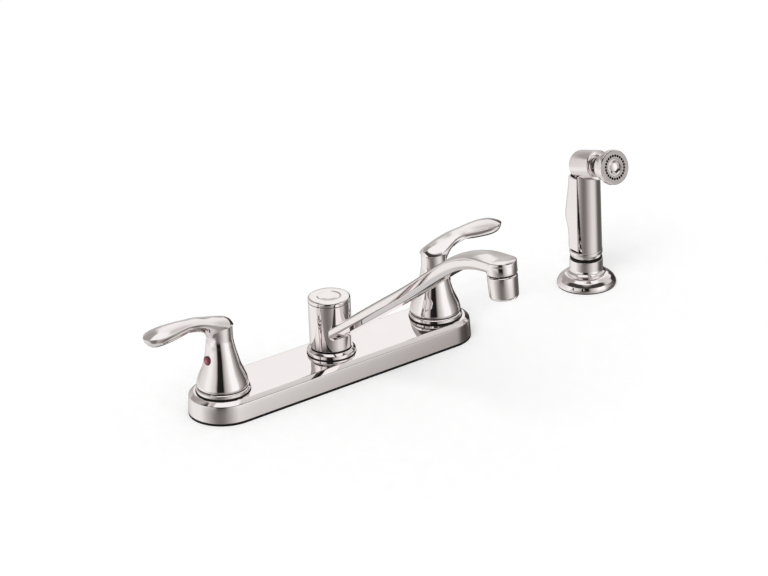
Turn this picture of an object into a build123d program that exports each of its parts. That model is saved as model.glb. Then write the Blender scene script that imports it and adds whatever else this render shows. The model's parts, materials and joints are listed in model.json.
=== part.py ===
from build123d import *
from math import cos, radians, sin, tan
import os

# Two handle kitchen faucet with a side spray. Millimetres.
# The origin is on the sink deck under the spout. +X is the cold side, -Y the user, +Z up.

# ---- overall sizes ----
handle_centres = 203.2        # between the handle axes, the 8 in standard
plate_length = handle_centres + 54.7
plate_width = 55.9
plate_top = 18.0              # deck to the top of the plate
spout_reach = 215.0           # centre post to the outlet
spout_rise = 35.2             # slope of the straight arm, degrees
root_height = 37.2            # height of the arm's ridges at its root, inside the post
deck_thickness = 12.0         # sink deck that the faucet is clamped to
spray_x, spray_y = 255.0, -2.0
spray_lift_gap = 0.3          # between the spray and its holder

# ---- fits ----
running = 0.05                # shaft in its bore
thread_play = 0.05            # threads are modelled as plain cylinders
body_gap = 0.3                # between moving bodies

half_centres = handle_centres / 2


def upright(x, y):
    """The plane that faces the user through x, y, with its second axis up."""
    return Plane(origin=(x, y, 0), x_dir=(1, 0, 0), z_dir=(0, -1, 0))


def turned(outline, x=0.0, y=0.0):
    """A turned piece: an outline of (radius, height) points spun about the upright line at x, y."""
    with BuildPart() as piece:
        with BuildSketch(upright(x, y)):
            with BuildLine():
                Polyline(*outline, close=True)
            make_face()
        revolve(axis=Axis((x, y, 0), (0, 0, 1)))
    return piece.part


def ring(inner, outer, low, high, x=0.0, y=0.0):
    """A plain washer or tube."""
    return turned([(inner, low), (outer, low), (outer, high), (inner, high)], x, y)


def hex_nut(flats, bore, low, high, x=0.0, y=0.0):
    """A hexagon nut, measured across its flats."""
    with BuildPart() as nut:
        with BuildSketch(Plane(origin=(x, y, low))):
            RegularPolygon(flats / 2, 6, major_radius=False)
            Circle(bore, mode=Mode.SUBTRACT)
        extrude(amount=high - low)
    return nut.part


def o_ring(middle, wire, height, x=0.0, y=0.0):
    """A rubber ring of round section."""
    with BuildPart() as rubber:
        with BuildSketch(upright(x, y)):
            with Locations((middle, height)):
                Circle(wire)
        revolve(axis=Axis((x, y, 0), (0, 0, 1)))
    return rubber.part


def coil(middle, wire, low_centre, direction, length, turns):
    """A round wire spring: the wire's own radius, and the radius of the turns."""
    with BuildPart() as spring:
        with BuildLine():
            turn_line = Helix(pitch=length / turns, height=length, radius=middle,
                              center=low_centre, direction=direction)
        with BuildSketch(Plane(origin=turn_line @ 0, z_dir=turn_line % 0)):
            Circle(wire)
        sweep(path=turn_line)
    return spring.part


# ---- deck gasket: a thin black ring under the plate's rim ----
gasket_thickness = 1.5
gasket_inset = 1.6
gasket_band = 7.0

with BuildPart() as deck_gasket:
    with BuildSketch():
        SlotOverall(plate_length - 2 * gasket_inset, plate_width - 2 * gasket_inset)
        SlotOverall(plate_length - 2 * gasket_band, plate_width - 2 * gasket_band, mode=Mode.SUBTRACT)
    extrude(amount=gasket_thickness)

# ---- deck plate: a hollow cast shell with a raised ring under each handle ----
plate_wall = 1.6
plate_draft = 3.2             # lean of the side wall, degrees
plate_shoulder = 15.3         # height where the side wall ends
plate_bevel = 3.6             # width of the band between the wall and the flat top
ring_radius = 20.2
ring_height = 3.9
valve_neck_radius = 12.5
hub_radius = 12.0
neck_hole = valve_neck_radius + body_gap
hub_hole = hub_radius + body_gap
ceiling = plate_top - plate_wall

wall_lean = (plate_shoulder - gasket_thickness) * tan(radians(plate_draft))
handle_seats = [(-half_centres, 0), (half_centres, 0)]

with BuildPart() as deck_plate:
    for height, inset in ((gasket_thickness, 0), (plate_shoulder, wall_lean)):
        with BuildSketch(Plane.XY.offset(height)):
            SlotOverall(plate_length - 2 * inset, plate_width - 2 * inset)
    loft()
    for height, inset in ((plate_shoulder, wall_lean), (plate_top, wall_lean + plate_bevel)):
        with BuildSketch(Plane.XY.offset(height)):
            SlotOverall(plate_length - 2 * inset, plate_width - 2 * inset)
    loft()
    fillet(edges().group_by(Axis.Z)[-1], radius=0.9)
    with BuildSketch(Plane.XY.offset(plate_top)):
        with Locations(*handle_seats):
            Circle(ring_radius)
    extrude(amount=ring_height)
    fillet(edges().group_by(Axis.Z)[-1], radius=1.3)
    with BuildSketch(Plane.XY.offset(gasket_thickness)):
        SlotOverall(plate_length - 2 * (wall_lean + plate_bevel + plate_wall),
                    plate_width - 2 * (wall_lean + plate_bevel + plate_wall))
    extrude(amount=ceiling - gasket_thickness, mode=Mode.SUBTRACT)
    with BuildSketch(Plane.XY.offset(ceiling)):
        with Locations(*handle_seats):
            Circle(neck_hole)
        Circle(hub_hole)
    extrude(amount=ring_height + plate_wall, mode=Mode.SUBTRACT)

# ---- waterway: one brass casting, two arms and a centre boss ----
valve_body_radius = 13.0
cartridge_radius = 8.9
cartridge_seat = 8.0          # height of the floor that the cartridge stands on
cross_radius = 5.4
cross_bore = 3.8
cross_height = 9.0
centre_boss_radius = 13.5
hub_foot_radius = 9.0
nipple_radius = 6.6
hub_bore = 5.5
foot_low = cross_height + cross_bore + 0.6
nipple_top = cross_height - cross_bore - 1.0
cross_end = half_centres - valve_body_radius + 3.0

with BuildPart() as waterway:
    with BuildSketch(Plane(origin=(-cross_end, 0, cross_height), z_dir=(1, 0, 0))):
        Circle(cross_radius)
    extrude(amount=2 * cross_end)
    with BuildSketch(Plane.XY.offset(gasket_thickness)):
        Circle(centre_boss_radius)
    extrude(amount=ceiling - gasket_thickness)
    with BuildSketch(Plane(origin=(-cross_end, 0, cross_height), z_dir=(1, 0, 0))):
        Circle(cross_bore)
    extrude(amount=2 * cross_end, mode=Mode.SUBTRACT)
    # threads for the spout hub above and the hose nipple below, joined by a bore
    with BuildSketch(Plane.XY.offset(foot_low)):
        Circle(hub_foot_radius + thread_play)
    extrude(amount=ceiling, mode=Mode.SUBTRACT)
    with BuildSketch(Plane.XY.offset(gasket_thickness)):
        Circle(nipple_radius + thread_play)
    extrude(amount=nipple_top - gasket_thickness, mode=Mode.SUBTRACT)
    with BuildSketch(Plane.XY.offset(nipple_top)):
        Circle(hub_bore)
    extrude(amount=foot_low - nipple_top, mode=Mode.SUBTRACT)

# ---- valve bodies: a shank through the deck below, a neck through the plate above ----
shank_radius = 10.2
shank_bore = 6.5
shank_length = 50.0           # below the deck
supply_radius = 10.0          # lower stretch of the shank, for the supply line's nut
supply_high = -24.0
neck_top = 27.0

def valve_body(side):
    x = side * half_centres
    with BuildPart() as body:
        add(turned([(shank_bore, -shank_length), (supply_radius, -shank_length),
                    (supply_radius, supply_high), (shank_radius, supply_high),
                    (shank_radius, gasket_thickness), (valve_body_radius, gasket_thickness),
                    (valve_body_radius, ceiling), (valve_neck_radius, ceiling),
                    (valve_neck_radius, neck_top), (cartridge_radius + thread_play, neck_top),
                    (cartridge_radius + thread_play, cartridge_seat), (shank_bore, cartridge_seat)], x))
        with BuildSketch(Plane(origin=(x, 0, cross_height), z_dir=(-side, 0, 0))):
            Circle(cross_radius + thread_play)
        extrude(amount=valve_body_radius + 1, mode=Mode.SUBTRACT)
    return body.part

hot_valve_body = valve_body(-1)
cold_valve_body = valve_body(1)

# ---- cartridges: a plastic cup over the ceramic discs, held down by the bonnet nut ----
seal_height = 1.5
disc_height = 2.6
disc_room = 7.0               # radius of the room for the discs
stem_radius = 3.9
stem_foot_height = 2.4
cartridge_neck_radius = 6.0
bonnet_low = 22.0
bonnet_high = 31.0
cartridge_top = 36.0
fixed_low = cartridge_seat + seal_height
turning_low = fixed_low + disc_height
stem_low = turning_low + disc_height
room_top = stem_low + stem_foot_height + running

def cartridge(side):
    window = cross_bore + 0.2
    with BuildPart() as cup:
        add(turned([(disc_room, cartridge_seat), (cartridge_radius, cartridge_seat),
                    (cartridge_radius, bonnet_low), (cartridge_neck_radius, bonnet_low),
                    (cartridge_neck_radius, cartridge_top), (stem_radius + running, cartridge_top),
                    (stem_radius + running, room_top), (disc_room, room_top)], side * half_centres))
        with BuildSketch(Plane(origin=(side * half_centres, 0, cross_height + disc_height),
                               z_dir=(-side, 0, 0))):
            Circle(window)
        extrude(amount=cartridge_radius + 1, mode=Mode.SUBTRACT)
    return cup.part

def ported_disc(x, low, radius):
    """A ceramic disc with two opposite round ports."""
    with BuildPart() as disc:
        with BuildSketch(Plane(origin=(x, 0, low))):
            Circle(radius)
            with PolarLocations(radius * 0.55, 2):
                Circle(radius * 0.3, mode=Mode.SUBTRACT)
        extrude(amount=disc_height)
    return disc.part

hot_cartridge = cartridge(-1)
cold_cartridge = cartridge(1)
hot_turning_disc = ported_disc(-half_centres, turning_low, disc_room - body_gap)
cold_turning_disc = ported_disc(half_centres, turning_low, disc_room - body_gap)
fixed_discs = Compound(children=[ported_disc(x, fixed_low, disc_room - thread_play) for x, _ in handle_seats])
seat_seals = Compound(children=[ring(3.6, disc_room - thread_play, cartridge_seat, fixed_low, x)
                                for x, _ in handle_seats])

# ---- nuts on the valve bodies, above and below the deck ----
bonnet_flats = 20.0
plate_nut_flats = 29.0
plate_nut_height = 3.4
shank_nut_flats = 32.0
shank_nut_height = 8.0
washer_radius = 19.0
washer_thickness = 2.5
ring_top = plate_top + ring_height
washer_top = -deck_thickness
nut_top = washer_top - washer_thickness

def bonnet_nut(x):
    with BuildPart() as nut:
        add(hex_nut(bonnet_flats, cartridge_neck_radius + thread_play, neck_top, bonnet_high, x))
        add(ring(cartridge_neck_radius + thread_play, cartridge_radius, bonnet_low, neck_top, x))
    return nut.part

bonnet_nuts = Compound(children=[bonnet_nut(x) for x, _ in handle_seats])
plate_nuts = Compound(children=[hex_nut(plate_nut_flats, valve_neck_radius + thread_play, ring_top,
                                        ring_top + plate_nut_height, x) for x, _ in handle_seats])
shank_washers = Compound(children=[ring(shank_radius + body_gap, washer_radius, nut_top, washer_top, x)
                                   for x, _ in handle_seats])
shank_nuts = Compound(children=[hex_nut(shank_nut_flats, shank_radius + thread_play,
                                        nut_top - shank_nut_height, nut_top, x) for x, _ in handle_seats])

# ---- handles: a hollow bell whose neck flows into a flat topped lever ----
bell_radius = 20.0
bell_low = ring_top + body_gap
bell_wall = 2.0
neck_radius = 10.4
neck_lean = 0.4               # the neck stands this far towards the lever
lever_hub_radius = 10.6
lever_hub_height = 71.4
lever_reach = 66.6            # handle axis to the lever's tip
lever_waist = 6.6             # half widths
lever_paddle = 8.8
lever_tip_height = 79.6
lever_back_height = 81.5
lever_crown = 2.0
socket_top = 57.0
dot_height = 45.5
dot_radius = 3.9
screw_radius = 2.0
button_low = 10.0             # the button's seat and its face, from the handle's axis
button_proud = 14.3

# Bell: (height, radius, lean towards the lever)
bell_sections = [
    (bell_low, bell_radius - 0.9, 0.0),
    (bell_low + 1.0, bell_radius, 0.0),
    (bell_low + 4.8, bell_radius - 0.65, 0.0),
    (bell_low + 8.8, bell_radius - 2.0, 0.0),
    (bell_low + 15.8, neck_radius + 4.6, 0.0),
    (bell_low + 20.3, neck_radius + 3.3, 0.0),
    (bell_low + 24.8, neck_radius + 2.1, 0.0),
    (bell_low + 29.8, neck_radius + 1.1, neck_lean / 2),
    (bell_low + 34.3, neck_radius + 0.4, neck_lean),
    (bell_low + 38.8, neck_radius + 0.1, neck_lean),
    (lever_hub_height - 5.0, neck_radius - 0.1, neck_lean),
    (lever_hub_height - 0.5, neck_radius - 0.2, 0.0),
]
# Lever: (distance from the axis, half width, height of the crisp edge, height of the belly)
lever_sections = [
    (-lever_hub_radius + 0.1, 1.5, lever_hub_height, lever_hub_height - 0.8),
    (-lever_hub_radius + 0.8, 4.1, lever_hub_height, lever_hub_height - 1.6),
    (-lever_hub_radius + 2.6, 7.0, lever_hub_height + 0.1, lever_hub_height - 2.4),
    (-5.2, 9.4, lever_hub_height + 0.5, lever_hub_height - 2.8),
    (-1.0, lever_hub_radius - 0.1, lever_hub_height + 1.1, lever_hub_height - 3.0),
    (4.0, 10.1, lever_hub_height + 3.4, lever_hub_height - 3.2),
    (9.0, 9.2, lever_hub_height + 5.6, lever_hub_height - 3.2),
    (13.0, 8.3, lever_hub_height + 7.4, lever_hub_height - 1.2),
    (18.0, 7.4, lever_hub_height + 9.0, lever_hub_height + 1.1),
    (27.0, lever_waist, lever_back_height + 0.1, lever_hub_height + 2.8),
    (37.0, 7.5, lever_back_height, lever_hub_height + 1.6),
    (48.0, lever_paddle - 0.1, lever_back_height - 0.2, lever_hub_height + 0.2),
    (56.0, lever_paddle - 0.2, lever_back_height - 0.6, lever_hub_height - 0.1),
    (61.5, 7.2, lever_tip_height + 0.9, lever_hub_height + 0.9),
    (lever_reach - 1.9, 4.6, lever_tip_height + 0.3, lever_hub_height + 3.2),
    (lever_reach, 1.2, lever_tip_height, lever_hub_height + 6.4),
]

def lever_handle(side):
    x = side * half_centres
    with BuildPart() as handle:
        for height, radius, lean in bell_sections:
            with BuildSketch(Plane(origin=(x + side * lean, 0, height))):
                Circle(radius)
        loft()
        for reach, half_width, edge, belly in lever_sections:
            crown = lever_crown * min(1, half_width / lever_waist)
            drop = edge - belly
            with BuildSketch(Plane(origin=(x + side * reach, 0, 0), x_dir=(0, 1, 0), z_dir=(1, 0, 0))):
                with BuildLine():
                    ThreePointArc((-half_width, edge), (0, edge + crown), (half_width, edge))
                    Spline((half_width, edge), (half_width * 0.78, edge - 0.62 * drop), (0, belly),
                           (-half_width * 0.78, edge - 0.62 * drop), (-half_width, edge))
                make_face()
        loft()
        # the hollow bell, and the socket for the stem
        with BuildSketch(upright(x, 0)):
            with BuildLine():
                Polyline((0, bell_low - 1), (bell_radius - bell_wall - 0.4, bell_low - 1),
                         (bell_radius - bell_wall, bell_low + 1.3), (bell_radius - bell_wall - 1.4, bell_low + 7),
                         (12.8, bell_low + 14), (9.0, bell_low + 19), (stem_radius + running, bell_low + 19),
                         (stem_radius + running, socket_top), (0, socket_top), close=True)
            make_face()
        revolve(axis=Axis((x, 0, 0), (0, 0, 1)), mode=Mode.SUBTRACT)
        # the hole for the set screw, with the wider seat of the index button
        with BuildSketch(Plane(origin=(x, 0, dot_height), z_dir=(side, 0, 0))):
            Circle(screw_radius + thread_play)
        extrude(amount=bell_radius, mode=Mode.SUBTRACT)
        with BuildSketch(Plane(origin=(x + side * button_low, 0, dot_height), z_dir=(side, 0, 0))):
            Circle(dot_radius)
        extrude(amount=bell_radius, mode=Mode.SUBTRACT)
    return handle.part

def index_button(side):
    with BuildPart() as button:
        with BuildSketch(Plane(origin=(side * (half_centres + button_low), 0, dot_height),
                               z_dir=(side, 0, 0))):
            Circle(dot_radius - thread_play)
        extrude(amount=button_proud - button_low)
        fillet(edges().sort_by(Axis.X)[-1 if side > 0 else 0], radius=0.8)
    return button.part

def set_screw(side):
    with BuildPart() as screw:
        with BuildSketch(Plane(origin=(side * (half_centres + stem_radius), 0, dot_height), z_dir=(side, 0, 0))):
            Circle(screw_radius)
        extrude(amount=button_low - stem_radius - body_gap)
        with BuildSketch(Plane(origin=(side * (half_centres + button_low - body_gap), 0, dot_height),
                               z_dir=(-side, 0, 0))):
            RegularPolygon(screw_radius / 2, 6)
        extrude(amount=2.0, mode=Mode.SUBTRACT)
    return screw.part

def stem(side):
    x = side * half_centres
    return turned([(0, stem_low), (disc_room - body_gap, stem_low), (disc_room - body_gap, room_top - running),
                   (stem_radius, room_top - running), (stem_radius, socket_top - 0.5),
                   (0, socket_top - 0.5)], x)

hot_handle = lever_handle(-1)
cold_handle = lever_handle(1)
hot_stem = stem(-1)
cold_stem = stem(1)
hot_set_screw = set_screw(-1)
cold_set_screw = set_screw(1)
hot_index_button = index_button(-1)
cold_index_button = index_button(1)

# ---- spout hub: the fixed brass post that the spout turns on ----
post_radius = 16.4
post_bore = 13.0
post_low = 24.2
post_high = 61.5
shelf_low = 52.0
shelf_thickness = 2.0
stud_radius = 7.5
o_ring_wire = 1.2
o_ring_heights = (30.0, 48.5)
port_height = 39.0
port_radius = 2.6
hub_ceiling = 47.0
hub_top = shelf_low - body_gap
groove_depth = 2 * o_ring_wire - (post_bore - hub_radius) + running

with BuildPart() as spout_hub:
    add(turned([(hub_bore, foot_low), (hub_foot_radius, foot_low),
                (hub_foot_radius, ceiling), (hub_radius, ceiling), (hub_radius, hub_top),
                (stud_radius, hub_top), (stud_radius, shelf_low + shelf_thickness + 4.2),
                (0, shelf_low + shelf_thickness + 4.2), (0, hub_ceiling), (hub_bore, hub_ceiling)]))
    for height in o_ring_heights:
        add(ring(hub_radius - groove_depth, hub_radius + 1, height - o_ring_wire - 0.1,
                 height + o_ring_wire + 0.1), mode=Mode.SUBTRACT)
    with BuildSketch(Plane.XZ.offset(-hub_radius - 1)):
        with Locations((0, port_height)):
            Circle(port_radius)
    extrude(amount=2 * hub_radius + 2, mode=Mode.SUBTRACT)

o_ring_middle = post_bore - running - o_ring_wire
hub_o_rings = Compound(children=[o_ring(o_ring_middle, o_ring_wire, height) for height in o_ring_heights])

# ---- ring and bearing under the spout ----
spout_ring_radius = 18.7
spout_ring_low = plate_top
spout_ring_high = post_low - body_gap
bearing_radius = 15.2
bearing_low = 21.4
spout_ring = turned([(hub_radius + thread_play, spout_ring_low), (spout_ring_radius - 0.5, spout_ring_low),
                     (spout_ring_radius, spout_ring_low + 0.5), (spout_ring_radius, spout_ring_low + 2.6),
                     (post_radius + 0.2, spout_ring_high), (bearing_radius + thread_play, spout_ring_high),
                     (bearing_radius + thread_play, bearing_low), (hub_radius + thread_play, bearing_low)])
spout_bearing = ring(hub_radius + thread_play, bearing_radius, bearing_low, post_low)

# ---- retaining nut on top of the hub, under the cap ----
retainer_flats = 19.0
retainer_low = shelf_low + shelf_thickness + body_gap
spout_retainer = hex_nut(retainer_flats, stud_radius + thread_play, retainer_low, retainer_low + 3.7)

# ---- diverter: sleeve, piston and spring inside the hub ----
sleeve_bore = 3.6
sleeve_low = 18.0
sleeve_high = 35.0
piston_low = 20.0
piston_high = 32.0
diverter_sleeve = turned([(sleeve_bore - 1.2, sleeve_low), (hub_bore - thread_play, sleeve_low),
                          (hub_bore - thread_play, sleeve_high), (sleeve_bore, sleeve_high),
                          (sleeve_bore, sleeve_low + 1.6), (sleeve_bore - 1.2, sleeve_low + 1.6)])
diverter_piston = turned([(0, piston_low), (sleeve_bore - running, piston_low),
                          (sleeve_bore - running, piston_low + 4), (1.6, piston_low + 5.5),
                          (1.6, piston_high - 3), (sleeve_bore - running, piston_high - 2),
                          (sleeve_bore - running, piston_high), (0, piston_high)])
spring_wire = 0.35
diverter_spring = coil(sleeve_bore - 0.9, spring_wire, (0, 0, piston_high + spring_wire),
                       (0, 0, 1), hub_ceiling - piston_high - 2 * spring_wire, 8)

# ---- hose nipple under the centre boss: where the spray hose is fastened ----
nipple_length = 38.0
nipple_bore = 3.6
hose_thread_radius = 6.2      # lower stretch, for the hose's nut
hose_nipple = turned([(nipple_bore, -nipple_length), (hose_thread_radius, -nipple_length),
                      (hose_thread_radius, 0), (nipple_radius, 0), (nipple_radius, nipple_top),
                      (nipple_bore, nipple_top)])

# ---- spout: hollow post, inclined flat arm and outlet head in one casting ----
arm_half_width = 10.8
arm_depth = 8.4               # across the straight part of the arm
arm_crown = 2.4
arm_chamfer = 3.2             # along both lower edges
arm_wall = 2.3
head_radius = 11.3
head_tilt = 6.2               # the outlet leans forward, degrees
head_height = 11.6            # from the joint to the flat top
head_bore = 8.9
head_room = 6.0
spigot_depth = 5.0
arch_length = 108.0           # the arched end of the arm, measured level
arch_climb = 55.1             # from the straight arm's line to the top of the arch
rise = tan(radians(spout_rise))
arm_start = 5.0
straight = spout_reach - arch_length - arm_start
ridge_end = root_height + rise * straight + arch_climb
outlet_gap_height = ridge_end + 0.3 - head_height * cos(radians(head_tilt))

# (distance from the post, height of the two top ridges, slope in degrees, depth, half width, crown)
arm_stations = [
    (arm_start, root_height, spout_rise, arm_depth, arm_half_width, arm_crown),
    (arm_start + straight / 3, root_height + rise * straight / 3, spout_rise, arm_depth,
     arm_half_width, arm_crown),
    (arm_start + straight * 2 / 3, root_height + rise * straight * 2 / 3 - 0.3, spout_rise, arm_depth,
     arm_half_width, arm_crown),
    (spout_reach - arch_length, ridge_end - 55.8, spout_rise + 0.8, arm_depth, arm_half_width + 0.1, arm_crown),
    (spout_reach - 79.0, ridge_end - 33.8, 36.5, arm_depth, arm_half_width + 0.2, arm_crown),
    (spout_reach - 60.5, ridge_end - 20.0, 34.0, arm_depth + 0.3, arm_half_width + 0.3, arm_crown),
    (spout_reach - 47.5, ridge_end - 11.8, 28.0, arm_depth + 0.5, arm_half_width + 0.3, arm_crown),
    (spout_reach - 28.5, ridge_end - 3.9, 17.0, arm_depth + 0.7, arm_half_width + 0.4, arm_crown),
    (spout_reach - 18.5, ridge_end - 1.4, 9.0, arm_depth + 0.8, arm_half_width + 0.4, arm_crown * 0.8),
    (spout_reach - 8.0, ridge_end - 0.4, 4.0, arm_depth + 0.8, arm_half_width + 0.4, arm_crown * 0.35),
    (spout_reach, ridge_end, 0.0, arm_depth + 0.8, arm_half_width + 0.4, 0.3),
]

head_axis = Plane(origin=(0, -spout_reach, outlet_gap_height), x_dir=(1, 0, 0),
                  z_dir=(0, sin(radians(head_tilt)), cos(radians(head_tilt))))


def arm_loft(stations, wall):
    """The arm, or with a wall its hollow: crowned top, upright sides and chamfered lower edges."""
    with BuildPart() as arm:
        for distance, ridge, slope, depth, half_width, crown in stations:
            ahead = (0, -cos(radians(slope)), sin(radians(slope)))
            half = half_width - wall
            low = -depth + wall
            bevel = arm_chamfer if wall == 0 else arm_chamfer / 2
            with BuildSketch(Plane(origin=(0, -distance, ridge), x_dir=(1, 0, 0), z_dir=ahead)):
                with BuildLine():
                    ThreePointArc((-half, -wall), (0, crown - wall), (half, -wall))
                    Polyline((half, -wall), (half, low + bevel), (half - bevel, low),
                             (-half + bevel, low), (-half, low + bevel), (-half, -wall))
                make_face()
        loft()
    return arm.part


with BuildPart() as spout:
    add(arm_loft(arm_stations, 0))
    with BuildSketch(head_axis):
        Circle(head_radius)
    extrude(amount=head_height)
    add(ring(post_bore, post_radius, post_low, post_high))
    add(ring(stud_radius + body_gap, post_bore + 0.5, shelf_low, shelf_low + shelf_thickness))
    # the post's bore, the water channel and the outlet's two bores
    with BuildSketch(Plane.XY.offset(post_low)):
        Circle(post_bore)
    extrude(amount=shelf_low - post_low, mode=Mode.SUBTRACT)
    add(arm_loft(arm_stations, arm_wall), mode=Mode.SUBTRACT)
    with BuildSketch(head_axis):
        Circle(head_bore + thread_play)
    extrude(amount=spigot_depth, mode=Mode.SUBTRACT)
    with BuildSketch(head_axis):
        Circle(head_room)
    extrude(amount=head_height - arm_wall - 1.4, mode=Mode.SUBTRACT)

# ---- cap on the post ----
cap_top = 65.0
cap_edge = 2.6
dish_radius = 8.8
dish_depth = 0.8
plug_outer = post_bore - thread_play
plug_inner = 11.6
plug_low = retainer_low + 3.7 + body_gap

with BuildPart() as spout_cap:
    with BuildSketch(Plane.XY.offset(post_high)):
        Circle(post_radius)
    extrude(amount=cap_top - post_high)
    fillet(edges().group_by(Axis.Z)[-1], radius=cap_edge)
    with BuildSketch(upright(0, 0)):
        with BuildLine():
            ThreePointArc((-dish_radius, cap_top), (0, cap_top - dish_depth), (dish_radius, cap_top))
            Line((dish_radius, cap_top), (-dish_radius, cap_top))
        make_face()
        split(bisect_by=Plane.YZ, keep=Keep.TOP)
    revolve(axis=Axis.Z, mode=Mode.SUBTRACT)
    with BuildSketch(Plane.XY.offset(post_high)):
        Circle(plug_outer)
        Circle(plug_inner, mode=Mode.SUBTRACT)
    extrude(amount=plug_low - post_high)

# ---- aerator: housing, insert with its screen, and the rubber washer above it ----
aerator_length = 17.0
aerator_foot = 10.7
aerator_wall = 1.9
joint_gap = 0.6
aerator_room = aerator_foot - aerator_wall
outlet_axis = Axis(head_axis.origin, -head_axis.z_dir)


def outlet_turned(outline):
    """A turned piece on the outlet's leaning axis: (radius, distance below the joint)."""
    with BuildPart() as piece:
        with BuildSketch(Plane(origin=head_axis.origin, x_dir=(1, 0, 0), z_dir=-head_axis.y_dir)):
            with BuildLine():
                Polyline(*[(radius, -below) for radius, below in outline], close=True)
            make_face()
        revolve(axis=outlet_axis)
    return piece.part


aerator_housing = outlet_turned([
    (aerator_room, aerator_length), (aerator_foot - 1.6, aerator_length),
    (aerator_foot - 0.5, aerator_length - 0.6), (aerator_foot, aerator_length - 1.8),
    (head_radius - 0.1, joint_gap + 0.5), (head_radius - 0.5, joint_gap), (head_bore, joint_gap),
    (head_bore, -spigot_depth + 0.4), (head_bore - 1.6, -spigot_depth + 0.4),
    (head_bore - 1.6, 2.0), (aerator_room, 2.0)])
aerator_washer = outlet_turned([
    (head_bore - 4.0, -spigot_depth + 0.4), (head_bore - 1.6 - thread_play, -spigot_depth + 0.4),
    (head_bore - 1.6 - thread_play, -1.5), (head_bore - 4.0, -1.5)])

insert_low = aerator_length - 2.2
with BuildPart() as aerator_insert:
    with BuildSketch(Plane(origin=head_axis.origin - head_axis.z_dir * 2.0, x_dir=(1, 0, 0),
                           z_dir=-head_axis.z_dir)):
        Circle(aerator_room - thread_play)
        for count, pitch in ((6, 2.6), (12, 5.2)):
            with PolarLocations(pitch, count):
                Circle(0.75, mode=Mode.SUBTRACT)
        Circle(0.75, mode=Mode.SUBTRACT)
    extrude(amount=insert_low - 2.0)

# ---- spray holder: domed flange, bead and cup, with a threaded shank through the deck ----
spray_gasket_thickness = 1.0
flange_radius = 24.0
bead_radius = 15.7
cup_radius = 13.5
cup_top = 23.9
holder_shank_radius = 14.0
holder_bore = 11.0
holder_shank_length = 38.0
liner_wall = 1.2
liner_lip = 12.4
liner_top = cup_top + 0.7

with BuildPart() as spray_flange:
    with BuildSketch(upright(spray_x, spray_y)):
        with BuildLine():
            Polyline((holder_bore, -holder_shank_length), (holder_shank_radius, -holder_shank_length),
                     (holder_shank_radius, spray_gasket_thickness), (flange_radius, spray_gasket_thickness),
                     (flange_radius, 2.4))
            Spline((flange_radius, 2.4), (21.6, 6.8), (16.2, 10.0), tangents=[(0, 1), (-1, 0.25)])
            Line((16.2, 10.0), (bead_radius - 0.6, 10.0))
            ThreePointArc((bead_radius - 0.6, 10.0), (bead_radius, 11.1), (bead_radius - 0.6, 12.2))
            Polyline((bead_radius - 0.6, 12.2), (cup_radius + 0.4, 12.9), (cup_radius, 14.0),
                     (cup_radius, cup_top - 0.6), (cup_radius - 0.6, cup_top), (holder_bore, cup_top),
                     (holder_bore, -holder_shank_length))
        make_face()
    revolve(axis=Axis((spray_x, spray_y, 0), (0, 0, 1)))

spray_gasket = ring(holder_shank_radius + 0.3, flange_radius - 0.5, 0, spray_gasket_thickness, spray_x, spray_y)
spray_liner = turned([(holder_bore - liner_wall, 2.0), (holder_bore - thread_play, 2.0),
                      (holder_bore - thread_play, cup_top), (liner_lip, cup_top), (liner_lip, liner_top),
                      (holder_bore - liner_wall, liner_top)], spray_x, spray_y)
spray_nut = turned([(holder_shank_radius + thread_play, washer_top - 6.0), (19.0, washer_top - 6.0),
                    (19.0, washer_top - 2.5), (22.0, washer_top - 2.5), (22.0, washer_top),
                    (holder_shank_radius + thread_play, washer_top)], spray_x, spray_y)

# ---- spray: body, trigger and nozzle ----
spray_low = liner_top + spray_lift_gap
foot_radius = 13.4
foot_top = 31.0
shaft_foot = 13.1
shaft_top_radius = 12.4
shaft_top = 97.0
shell_edge = -9.1             # the front shell ends here, and the trigger's slot begins
core_radius = 8.6
core_shift = -3.7
barrel_height = 101.9         # where the barrel's axis crosses the shaft's axis
barrel_tilt = 16.0
barrel_radius = 10.4
barrel_front = 19.0
barrel_back = -8.3
barrel_bore = 5.0
water_bore = 2.8
pin_radius = 1.25
stub_reach = 4.5              # inner end of each stub pin, from the middle
pin_y, pin_z = 3.0, 91.5
plunger_radius = 2.4
plunger_height = 62.0
plunger_tip = -3.0

nozzle_dir = Vector(0, -cos(radians(barrel_tilt)), sin(radians(barrel_tilt)))
barrel_origin = Vector(spray_x, spray_y, barrel_height)


def nozzle_plane(distance):
    """The plane across the barrel at this distance in front of the shaft's axis."""
    return Plane(origin=barrel_origin + nozzle_dir * distance, x_dir=(1, 0, 0), z_dir=nozzle_dir)


def nozzle_turned(outline):
    """A turned piece on the barrel's axis: (radius, distance in front of the shaft's axis)."""
    with BuildPart() as piece:
        with BuildSketch(Plane(origin=barrel_origin, x_dir=(1, 0, 0), z_dir=nozzle_plane(0).y_dir * -1)):
            with BuildLine():
                Polyline(*outline, close=True)
            make_face()
        revolve(axis=Axis(barrel_origin, nozzle_dir))
    return piece.part


with BuildPart() as front_shell:
    for height, radius in ((foot_top - 1, shaft_foot), (shaft_top, shaft_top_radius)):
        with BuildSketch(Plane(origin=(spray_x, spray_y, height))):
            Circle(radius)
    loft()
    with BuildSketch(Plane(origin=(spray_x, spray_y + shell_edge - 15, foot_top - 1))):
        Rectangle(40, 30)
    extrude(amount=shaft_top, mode=Mode.INTERSECT)

with BuildPart() as barrel:
    with BuildSketch(nozzle_plane(barrel_back)):
        Circle(barrel_radius)
    extrude(amount=barrel_front - barrel_back)
    fillet(edges().filter_by(GeomType.CIRCLE).sort_by(Axis.Y)[-1], radius=4.5)

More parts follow.
